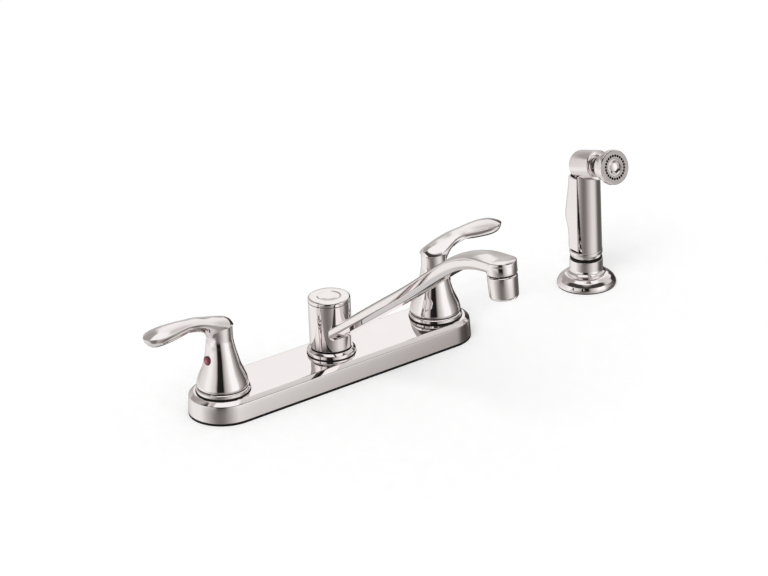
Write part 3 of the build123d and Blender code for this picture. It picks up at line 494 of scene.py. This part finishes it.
# rise of the top above its edges, by distance from the axis
crown_line = [(-10.5, 0), (-9.5, 2.2), (-8, 3.6), (-5, 5.0), (0, 5.4), (4, 4.6), (9, 3.2), (13, 2.4),
              (20, 2.0), (27, 2.0), (34, 2.8), (42, 3.4), (50, 3.4), (57, 2.8), (62, 1.6), (66.6, 0.1)]
# inside of the bell: radius, height
bell_inside = [(17.6, 22.2), (18.0, 23.5), (16.6, 29.2), (12.8, 36.2), (9.0, 41.2), (0.02, 41.2)]


def lever_outline(count=58):
    """Right half of the lever's outline, from tip to back, as (distance, half width)."""
    fine = [(at, max(0.0, float(curve(lever_line, at)[0])))
            for at in np.linspace(lever_tip, lever_back, 3000)]
    steps = [0.0]
    for (a, b), (c, d) in zip(fine, fine[1:]):
        steps.append(steps[-1] + math.hypot(c - a, d - b))
    even = [int(np.searchsorted(steps, steps[-1] * j / count, side="left")) for j in range(count)]
    return [fine[i] for i in even] + [fine[-1]]


def bell_at(height):
    """Radius and lean of the bell and neck."""
    radius, lean = curve(bell_line, height)
    return float(radius), float(lean)


def belly_at(distance, sideways):
    """Height of the lever's underside."""
    half, edge, low = curve(lever_line, distance)
    share = min(1.0, abs(sideways) / max(half, 1e-3))
    return float(edge - (edge - low) * math.sqrt(max(0.0, 1 - share**2)))


def crown_at(distance, sideways):
    """Height of the lever's top."""
    half, edge, _ = curve(lever_line, distance)
    share = min(1.0, abs(sideways) / max(half, 1e-3))
    return float(edge + curve(crown_line, distance)[0] * (1 - share**2))


def neck_column(distance, sideways):
    """Points up the skirt, bell and neck, and out under the lever to one point of its outline."""
    reach = math.hypot(distance, sideways)
    angle = math.atan2(sideways, distance)
    start = min(neck_radius, reach - 0.12)
    gap = reach - start
    curl = min(hollow, gap * 0.8)
    meet = belly_at(start * math.cos(angle), start * math.sin(angle)) - curl
    column = []
    for height in [skirt_foot, skirt_foot + skirt_lip, *np.linspace(bell_foot, 56, 26),
                   *np.linspace(57.5, neck_end, 5)]:
        radius, lean = bell_at(height)
        if height < bell_foot:
            radius = skirt_radius + 0.6 * (height - skirt_foot) / skirt_lip
        column.append((radius * math.cos(angle) + lean, radius * math.sin(angle), height))
    for height in np.linspace(neck_end, meet, 4)[1:]:
        lean = neck_lean * (meet - height) / max(0.1, meet - neck_end)
        column.append((start * math.cos(angle) + lean, start * math.sin(angle), height))
    for j in range(1, 9):
        swing = math.pi / 2 * j / 8
        out = start + curl * (1 - math.cos(swing))
        spot = out * math.cos(angle), out * math.sin(angle)
        column.append((*spot, belly_at(*spot) - curl * (1 - math.sin(swing))))
    for j in range(1, 15):
        out = start + curl + (gap - curl) * (1 - (1 - j / 14) ** 2.2)
        spot = out * math.cos(angle), out * math.sin(angle)
        column.append((*spot, belly_at(*spot) if j < 14 else float(curve(lever_line, distance)[1])))
    return column


def smoothed(grid, rounds=14, above=58, reach=30, band=8, strength=0.6):
    """The hollow between neck and lever, eased by averaging, and less so further from the axis."""
    first = int(np.argmax(grid[:, 0, 2] >= above))
    for _ in range(rounds):
        around = (np.roll(grid, 1, axis=1) + np.roll(grid, -1, axis=1)) / 2
        upward = (grid[:-2] + grid[2:]) / 2
        eased = (around[1:-1] + upward) / 2 - grid[1:-1]
        out = np.hypot(grid[1:-1, :, 0], grid[1:-1, :, 1])
        share = np.clip((reach - out) / band, 0, 1)[:, :, None] * strength
        share[:max(first - 1, 0)] = 0
        grid[1:-1] += eased * share
    return grid


def top_skin(pairs):
    """The lever's crowned top: rows from side to side, closed at the tip and the back."""
    rows = [[(distance, half * share, crown_at(distance, half * share))
             for share in np.linspace(1, -1, top_count)] for distance, half in pairs]
    points, faces = skin(rows, closed=False)
    tip = len(points)
    points += [(end, 0.0, crown_at(end, 0)) for end in (lever_tip, lever_back)]
    last_row = tip - top_count
    for j in range(top_count - 1):
        faces.append((tip, j, j + 1))
        faces.append((tip + 1, last_row + j + 1, last_row + j))
    return points, faces


def handle_skin(side):
    """The whole handle, turned to its side of the plate. The skin runs up the columns and round them."""
    half_loop = lever_outline()
    loop = half_loop + [(a, -b) for a, b in reversed(half_loop[1:-1])]
    columns = np.array([neck_column(distance, sideways) for distance, sideways in loop])
    rings = [[tuple(point) for point in row] for row in smoothed(columns.transpose(1, 0, 2).copy())]
    angles = [math.atan2(b, a) for a, b in loop]
    under = [[(radius * math.cos(a), radius * math.sin(a), height) for a in angles]
             for radius, height in reversed(bell_inside)]
    points, faces = joined(skin(under + rings), top_skin(half_loop[1:-1]))
    return [(side * (handle_x + a), side * b, c) for a, b, c in points], faces


def eased_edges(piece, angle):
    """A small rounding along the crisp edges."""
    edge = piece.modifiers.new("edge", "BEVEL")
    edge.width = 0.0003
    edge.segments = 2
    edge.limit_method = "ANGLE"
    edge.angle_limit = math.radians(angle)


for side, name in ((-1, "hot"), (1, "cold")):
    handle = shape(name + "_lever_handle", *handle_skin(side), chrome, crisp=48)
    weld = handle.modifiers.new("weld", "WELD")
    weld.merge_threshold = 0.00002
    eased_edges(handle, 48)
    put(handle, name + "_handle_body", "chrome", name + "_handle")

# ---- Index buttons ----
# Domed plastic plugs in the neck, pressed in over the set screws that they hide. The hot one is red
# and the cold one is blue.
button_height = 45.5
button_face = 14.3  # from the handle's axis


def button_finish(name, rim_shade, body, middle, centre):
    """Plastic, with painted shade darkening its rim and a painted glow paling its middle, where light passes
    through it.
    """
    made, tree, shader, place = material(name)
    away = node(tree, "VectorMath", {0: place, 1: centre}, operation="DISTANCE")
    share = node(tree, "MapRange", {"Value": away.outputs["Value"], "From Min": 0.0, "From Max": 0.0040})
    # painted glow in the middle and painted shade at the rim
    colour = ramp(tree, share.outputs[0], [(0.0, middle), (0.32, body), (0.6, body), (0.80, rim_shade)])
    speck = node(tree, "TexNoise", {"Vector": place, "Scale": 900.0, "Detail": 2.0})
    mottle = node(tree, "Mix", {"Factor": 0.06, 6: colour, 7: speck.outputs["Color"]}, data_type="RGBA")
    tree.links.new(mottle.outputs[2], shader.inputs["Base Color"])
    gloss = node(tree, "MapRange", {"Value": speck.outputs["Fac"], "To Min": 0.22, "To Max": 0.34})
    tree.links.new(gloss.outputs[0], shader.inputs["Roughness"])
    shader.inputs["Subsurface Weight"].default_value = 0.1
    shader.inputs["Subsurface Radius"].default_value = (0.002, 0.001, 0.001)
    return made


for side, name, tones in ((-1, "hot", ((0.07, 0.0, 0.004), (0.34, 0.003, 0.018), (0.78, 0.22, 0.26))),
                          (1, "cold", ((0.0, 0.01, 0.07), (0.006, 0.05, 0.40), (0.20, 0.34, 0.85)))):
    centre = (0.001 * side * (handle_x + button_face), 0, 0.001 * button_height)
    finish = button_finish(name + "_button_plastic", *tones, centre)
    outline = rounded([(0, 14.2, 0), (2.4, 14.1, 2.0), (3.75, 13.5, 0.6), (3.75, 10.0, 0), (0, 10.0, 0)])
    plug = spun(outline, (side * handle_x, 0, button_height), (side, 0, 0), 64)
    button = shape(name + "_index_button_plug", *plug, finish)
    put(button, name + "_handle_body", "red" if name == "hot" else "blue", name + "_index_button")

# ---- Post, cap and ring ----
# The spout's foot is a plain chromed post. A cap with a shallow dish closes it, and a loose ring
# lies under it on the plate.
ring_line = rounded([(12.1, 18.1, 0), (18.9, 18.3, 0.15), (18.9, 21.1, 1.3), (16.9, 22.9, 0.8),
                     (12.1, 23.2, 0)])
spout_ring = shape("loose_ring_under_spout", *spun(ring_line), chrome)
put(spout_ring, "base", "chrome", "spout_ring")
# black rubber rings as painted shadow: at the loose ring's foot on the plate, and in the gap under the post
loose_ring_shadow = [(18.0, 17.9), (19.2, 17.9), (19.2, 18.4), (19.0, 18.8), (18.0, 18.8), (18.0, 17.9)]
under_post_shade = [(15.3, 22.9), (16.0, 22.9), (16.0, 24.1), (15.3, 24.1), (15.3, 22.9)]
spout_ring_shadow_bands = shape("black_shadow_bands_at_the_ring", *joined(spun(loose_ring_shadow), spun(under_post_shade)), rubber)
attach(spout_ring_shadow_bands, "base")

cap_line = rounded([(11.6, 61.0, 0), (16.05, 61.0, 0.1), (16.05, 61.55, 0.1), (16.4, 61.7, 0.15),
                    (16.4, 65.0, 2.7), (9.6, 65.0, 1.2), (8.2, 64.5, 2.5), (4.0, 64.2, 3.0), (0, 64.15, 0)])
spout_cap = shape("dished_cap", *spun(cap_line), chrome)
put(spout_cap, "spout_body", "chrome", "spout_cap")
seal_line = [(15.0, 61.1), (16.25, 61.1), (16.25, 61.6), (15.0, 61.6), (15.0, 61.1)]
cap_seal = shape("cap_seal", *spun(seal_line), rubber)
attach(cap_seal, "spout_body")

# ---- Spout ----
# Post, arm and outlet head are one hollow casting, chromed. The arm is a flat bar with a crowned
# top that climbs, levels out and ends in a round head that leans forward over the sink.
head_start, head_middle = 213.75, 213.78  # from the post
head_radius = 11.3
head_slope = 0.1086
edge_start, edge_round = 8.4, 2.9  # from the head's middle, and the rounding of its far edge
outlet = (0, -215, 152.99)  # middle of the joint above the aerator

# arm: distance from the post, ridge height, slope, depth, half width, crown, ridge rounding
arm_line = [(5.0, 37.2, 35.2, 8.4, 10.8, 2.4, 1.4), (39.0, 61.2, 35.2, 8.4, 10.8, 2.4, 1.4),
            (73.0, 84.9, 35.3, 8.4, 10.8, 2.4, 1.4), (107.0, 108.4, 36.0, 8.4, 10.9, 2.4, 1.4),
            (122.0, 119.4, 36.4, 8.4, 10.95, 2.4, 1.4), (136.0, 129.9, 36.5, 8.4, 11.0, 2.4, 1.4),
            (146.0, 137.3, 35.6, 8.5, 11.05, 2.4, 1.4), (154.5, 143.4, 34.0, 8.7, 11.1, 2.4, 1.4),
            (161.0, 147.8, 31.4, 8.8, 11.1, 2.4, 1.4), (167.5, 151.7, 28.0, 8.9, 11.1, 2.4, 1.5),
            (177.0, 156.2, 22.6, 9.0, 11.2, 2.4, 1.5), (186.5, 159.7, 17.0, 9.1, 11.2, 2.3, 1.5),
            (196.5, 162.1, 11.5, 9.1, 11.2, 1.9, 2.2), (205.0, 163.3, 7.5, 9.0, 11.2, 1.2, 2.6),
            (213.75, 164.3, 6.2, 9.0, 11.2, 0.7, 2.9)]


def arm_section(distance, count_top=13):
    """One loop across the arm: crowned top, rounded ridges, upright sides, rounded lower edges."""
    ridge, slope, depth, half, crown, ease = [float(v) for v in curve(arm_line, distance)]
    if distance > head_start:
        ridge += head_slope * (distance - head_start)
        beyond = max(0.0, distance - head_middle)
        half = math.sqrt(max(0.01, head_radius**2 - beyond**2))
        depth = 6.5
        rolled_off = min(1.0, max(0.0, beyond - edge_start) / edge_round)
        ridge -= edge_round * (1 - math.sqrt(1 - rolled_off**2))
        crown *= half / head_radius
        ease = min(ease, 0.45 * half)
    top = [(half * share, crown * (1 - share**2)) for share in np.linspace(-1, 1, count_top)[1:-1]]
    cut = min(3.2, 0.5 * half)
    corners = [(-half, -depth + cut, 0.5 * cut), (-half, 0, ease)]
    corners += [(a, b, 0) for a, b in top]
    corners += [(half, 0, ease), (half, -depth + cut, 0.5 * cut), (half - cut, -depth, 0.5 * cut),
                (-half + cut, -depth, 0.5 * cut)]
    rolled = [corners[-1]] + corners + [corners[0]]
    loop = rounded(rolled, 5)[1:-1]
    tilt = math.radians(slope)
    return [(a, -distance + b * math.sin(tilt), ridge + b * math.cos(tilt)) for a, b in loop]


over_head = head_middle + 11.29 * np.sin(np.linspace(0.05, math.pi / 2, 24))
arm_sections = [arm_section(at) for at in [*np.linspace(5, head_start, 90), *over_head]]
arm_skin = skin(arm_sections, first=True, last=True)
lean = math.radians(6.2)
head_axis = (0, math.sin(lean), math.cos(lean))
head_line = rounded([(0, 8.6, 0), (8, 8.6, 0), (11.28, 8.6, 0.1), (11.28, 2.3, 0.5), (10.7, 1.75, 0.2),
                     (8.9, 1.7, 0), (8.9, 4.5, 0), (0, 4.5, 0)], 7)
post_line = rounded([(0, 50, 0), (13.0, 50, 0), (13.0, 24.2, 0.3), (16.4, 24.2, 0.4), (16.4, 61.2, 0.25),
                     (13.0, 61.2, 0)])
spout = shape("spout_casting", *joined(arm_skin, spun(head_line, outlet, head_axis), spun(post_line)),
              chrome, crisp=38)
put(spout, "spout_body", "chrome", "spout")

# ---- Aerator ----
# A turned, chromed brass shell screwed up into the head, with a rounded top edge that leaves a dark
# joint, and a plastic insert inside it.
black_plastic = rubber_finish("black_plastic", (0.006, 0.006, 0.006), (0.014, 0.013, 0.013), 0.4, 0.6, 800.0)
aerator_line = rounded([(8.9, -3.0, 0), (8.9, 0.6, 0), (10.3, 0.6, 0.4), (11.15, -0.3, 1.0),
                        (10.95, -8.0, 8.0), (10.7, -15.3, 2.5), (9.6, -17.0, 1.6), (8.9, -17.0, 0.2),
                        (8.8, -14.6, 0), (8.8, -2, 0)], 7)
aerator = shape("aerator_shell", *spun(aerator_line, outlet, head_axis), soft_chrome)
put(aerator, "spout_body", "chrome", "aerator_housing")
joint_line = [(9.0, 0.3), (10.1, 0.3), (10.1, 2.0), (9.0, 2.0), (9.0, 0.3)]
joint = shape("outlet_joint_seal", *spun(joint_line, outlet, head_axis), black_plastic)
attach(joint, "spout_body")

# ---- Spray holder ----
# A domed flange with a bead and a cup, turned and chromed. A black plastic liner lies in its mouth,
# and the spray stands in it.
spray_x, spray_y = 255, -2
flange_line = rounded([(11.0, -38, 0), (14.0, -38, 0.3), (14.0, 1.0, 0), (24.0, 1.0, 0.3),
                       (24.0, 3.0, 1.2), (22.9, 5.4, 3.0), (20.6, 7.9, 4.0), (17.8, 9.5, 3.0),
                       (15.6, 10.0, 0.8), (15.15, 10.3, 0.2), (15.7, 10.7, 0.5), (15.7, 11.7, 0.6),
                       (14.6, 12.5, 0.5), (13.7, 13.1, 0.8), (13.5, 15.0, 1.0), (13.5, 23.0, 0.4),
                       (11.0, 23.0, 0.2), (11.0, -38, 0)])
spray_flange = shape("spray_holder_flange", *spun(flange_line, (spray_x, spray_y, 0)), chrome)
put(spray_flange, "base", "chrome", "spray_flange")
liner_line = rounded([(9.8, 2.0, 0), (10.9, 2.0, 0), (10.9, 23.0, 0), (13.0, 23.0, 0.15),
                      (13.0, 24.6, 0.25), (9.8, 24.6, 0.2), (9.8, 2.0, 0)])
spray_liner = shape("spray_holder_liner", *spun(liner_line, (spray_x, spray_y, 0)), black_plastic)
put(spray_liner, "base", "black_plastic", "spray_liner")

# ---- Side spray ----
# The body is moulded plastic, chromed: a foot, a front shell, the core behind it that carries the
# water, and the barrel on top that leans back and points at the sink.
shell_foot, shell_top = 30, 97
shell_radius, shell_taper = 13.1, 0.7  # at the foot, and lost up to the top
slot_depth, slot_taper, slot_length = 7.8, 3.2, 61.5  # the flat behind the shell, as a wedge
core_shift = -3.7
foot_line = rounded([(0, 24.9, 0), (12.3, 24.9, 0.4), (13.4, 28.1, 1.0), (13.4, 31.0, 0.8), (0, 31.0, 0)])
foot_skin = spun(foot_line, (spray_x, spray_y, 0))


def shell_section(height):
    """The front shell's loop: an arc in front and a flat behind, with eased corners."""
    radius = shell_radius - shell_taper * (height - shell_foot) / (shell_top - shell_foot)
    slot = slot_depth - slot_taper * (height - shell_foot) / slot_length
    half = math.acos(slot / radius)
    loop = []
    for step in np.linspace(-half, half, 33):
        loop.append((spray_x + radius * math.sin(step), spray_y - radius * math.cos(step), height))
    width = radius * math.sin(half)
    for share in (0.96, 0.6, 0, -0.6, -0.96):
        loop.append((spray_x + width * share, spray_y - slot + (0.5 if abs(share) < 0.9 else 0.35), height))
    return loop


shell_heights = np.linspace(shell_foot, shell_top, 12)
shell_skin = skin([shell_section(height) for height in shell_heights], first=True, last=True)
core_skin = spun([(0, 30.5), (8.6, 30.5), (8.6, 98), (0, 98)], (spray_x, spray_y + core_shift, 0))
barrel_tilt = math.radians(16)
nozzle_axis = (0, -math.cos(barrel_tilt), math.sin(barrel_tilt))
nozzle_centre = (spray_x, spray_y, 101.9)
barrel_centre = (spray_x, -1.56, 103.44)  # raised 1.6 mm over the nozzle's axis
barrel_line = rounded([(0, -7.6, 0), (5.0, -7.5, 2.0), (12.1, -6.4, 7.0), (12.1, 18.6, 0.7),
                       (9.0, 19.1, 0.3), (5, 19.1, 0)], 8)
barrel_skin = spun(barrel_line, barrel_centre, nozzle_axis)
spray_body = shape("spray_body_shell", *joined(foot_skin, shell_skin, core_skin, barrel_skin), soft_chrome)
put(spray_body, "sprayer", "chrome", "spray_body")

# ---- Trigger ----
# A long chromed lever, bent like a channel round the back of the spray. It hangs on two stub pins at
# its top, and is pressed in with the hand.
trigger_half, trigger_front = 11.9, -4.0
trigger_low, trigger_high = 31.9, 95
pin_line = [(0, 4.5), (1.25, 4.5), (1.25, 11.3), (0, 11.3)]
pin_place = (spray_x, 1, 91.5)
trigger_line = [(31.9, 12.2), (46, 12.5), (50, 13.2), (54, 14.8), (58, 15.6), (63, 15.5), (70, 14.5),
                (80, 12.7), (87, 11.5), (95, 10.2)]


def channel(half, back, corner):
    """Half a loop of the trigger: forward, round the back and forward again."""
    return rounded([(-half, trigger_front, 0), (-half, back, corner), (half, back, corner),
                    (half, trigger_front, 0)], 10)


def trigger_section(height, wall=1.2):
    """A loop of the trigger: its outside, and its inside back again."""
    back = float(curve(trigger_line, height)[0])
    outside = channel(trigger_half, back, 7.5)
    inside = channel(trigger_half - wall, back - wall, 6.3)
    return [(spray_x + a, spray_y + b, height) for a, b in outside + inside[::-1]]


trigger_sections = [trigger_section(height) for height in np.linspace(trigger_low, trigger_high, 44)]
trigger_points, trigger_faces = skin(trigger_sections)
loop_count = len(trigger_sections[0])
last_ring = len(trigger_points) - loop_count
for j in range(loop_count // 2 - 1):
    k = loop_count - 1 - j
    trigger_faces.append((j + 1, j, k, k - 1))
    trigger_faces.append((last_ring + j, last_ring + j + 1, last_ring + k - 1, last_ring + k))
pin_skins = [spun(pin_line, pin_place, (end, 0, 0), 24) for end in (-1, 1)]
trigger = shape("spray_trigger_lever", *joined((trigger_points, trigger_faces), *pin_skins), soft_chrome)
eased_edges(trigger, 50)
put(trigger, "trigger", "chrome", "spray_trigger")

# ---- Nozzle ----
# A turned ring piece with a neck, a collar and a flared rim, all chromed. The face inside the rim is
# satin, with a ring of holes, and a chromed cup stands in its middle.
hole_circle, hole_radius, hole_count, hole_depth = 9.25, 1.05, 24, 1.5
face_rim, face_middle = 13.3, 6.6  # radii of the satin face
face_front = 39.02  # from the nozzle's centre
nozzle_line = rounded([(3.6, 8, 0), (5.0, 8, 0), (5.0, 19.0, 0), (7.8, 19.0, 0.3), (8.3, 19.4, 0.3),
                       (8.3, 24.4, 0.5), (10.2, 24.8, 0.5), (10.4, 25.6, 0.4), (10.4, 29.4, 0.5),
                       (9.8, 30.2, 0.4), (11.0, 31.4, 1.0), (13.3, 33.3, 1.0), (14.0, 34.4, 0.6),
                       (14.0, 38.6, 0.7), (13.0, 39.0, 0.4), (12.45, 38.8, 0.2), (12.45, 36, 0),
                       (6.4, 36, 0), (6.4, 26, 0), (3.6, 26, 0)])
nozzle = shape("nozzle_ring_piece", *spun(nozzle_line, nozzle_centre, nozzle_axis), chrome)
put(nozzle, "sprayer", "chrome", "nozzle_ring")
cup_line = rounded([(0, 37.0, 0), (3.4, 37.3, 2.0), (5.2, 38.3, 1.0), (5.9, 39.0, 0.3), (6.6, 38.9, 0.3),
                    (6.8, 38.4, 0.2), (6.8, 36.0, 0), (0, 36.0, 0)])
cup = shape("nozzle_centre_cup", *spun(cup_line, nozzle_centre, nozzle_axis, 64), chrome)
put(cup, "sprayer", "chrome", "centre_cup")

satin = chrome_finish("satin_plastic", (0.62, 0.57, 0.555), 0.34, 0.44)


def circle(radius, count, a=0.0, b=0.0):
    """Points round a circle in the plane of the face."""
    return [(a + radius * math.cos(2 * math.pi * j / count), b + radius * math.sin(2 * math.pi * j / count))
            for j in range(count)]


def on_face(a, b, depth=0.0):
    """A point of the face, a to the right and b up, this deep behind its front."""
    spot = Vector(nozzle_centre) + Vector(nozzle_axis) * (face_front - depth)
    return tuple(spot + Vector((a, 0, 0)) + Vector((0, math.sin(barrel_tilt), math.cos(barrel_tilt))) * b)


hole_centres = circle(hole_circle, hole_count)
holes = [circle(hole_radius, 20, *centre) for centre in hole_centres]
loops = [circle(face_rim, 96), circle(face_middle, 64), *holes]
flat = tessellate_polygon([[Vector((a, b, 0)) for a, b in loop] for loop in loops])
face_points = [on_face(a, b) for loop in loops for a, b in loop]
face = shape("spray_face_disc", face_points, [tuple(triangle) for triangle in flat], satin)
put(face, "sprayer", "grey_plastic", "spray_face")
# the holes' walls and floors are black plastic, as painted shade in the holes
pits = [skin([[on_face(*spot, depth) for spot in hole] for depth in (0, hole_depth)], last=True)
        for hole in holes]
shaded_face_pits = shape("spray_face_holes", *joined(*pits), black_plastic)
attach(shaded_face_pits, "sprayer")

# ---- Pieces kept from the drawing ----
# Inside the valves and below the deck: brass, zinc, steel, rubber, ceramic and plastic, plain moulded
# or turned. Their places are right as drawn, so only their finish is set here.
brass = chrome_finish("turned_brass", (0.70, 0.47, 0.19), 0.22, 0.36)
zinc = chrome_finish("plated_zinc", (0.52, 0.53, 0.55), 0.34, 0.5)
steel = chrome_finish("bright_steel", (0.60, 0.59, 0.57), 0.2, 0.32)
pale_plastic = rubber_finish("pale_plastic", (0.55, 0.54, 0.50), (0.63, 0.62, 0.58), 0.35, 0.5, 300.0)
ceramic = rubber_finish("white_ceramic", (0.72, 0.71, 0.68), (0.78, 0.77, 0.75), 0.12, 0.2, 240.0)
grey_plastic = rubber_finish("grey_plastic", (0.16, 0.16, 0.16), (0.22, 0.22, 0.22), 0.35, 0.5, 300.0)
drawn_finishes = {"chrome": chrome, "brass": brass, "zinc": zinc, "steel": steel, "rubber": rubber,
                  "black_plastic": black_plastic, "pale_plastic": pale_plastic, "ceramic": ceramic,
                  "grey_plastic": grey_plastic}
for part in frame["record"]["subparts"]:
    name = part["node"]
    finish = drawn_finishes.get(part["material_slot"])
    if finish is not None:
        drawn = frame["nodes"][name]
        # brass and nuts below the deck would show in the chrome
        drawn.visible_glossy = name in ("aerator_insert", "aerator_washer")
        drawn.data.materials.clear()
        drawn.data.materials.append(finish)
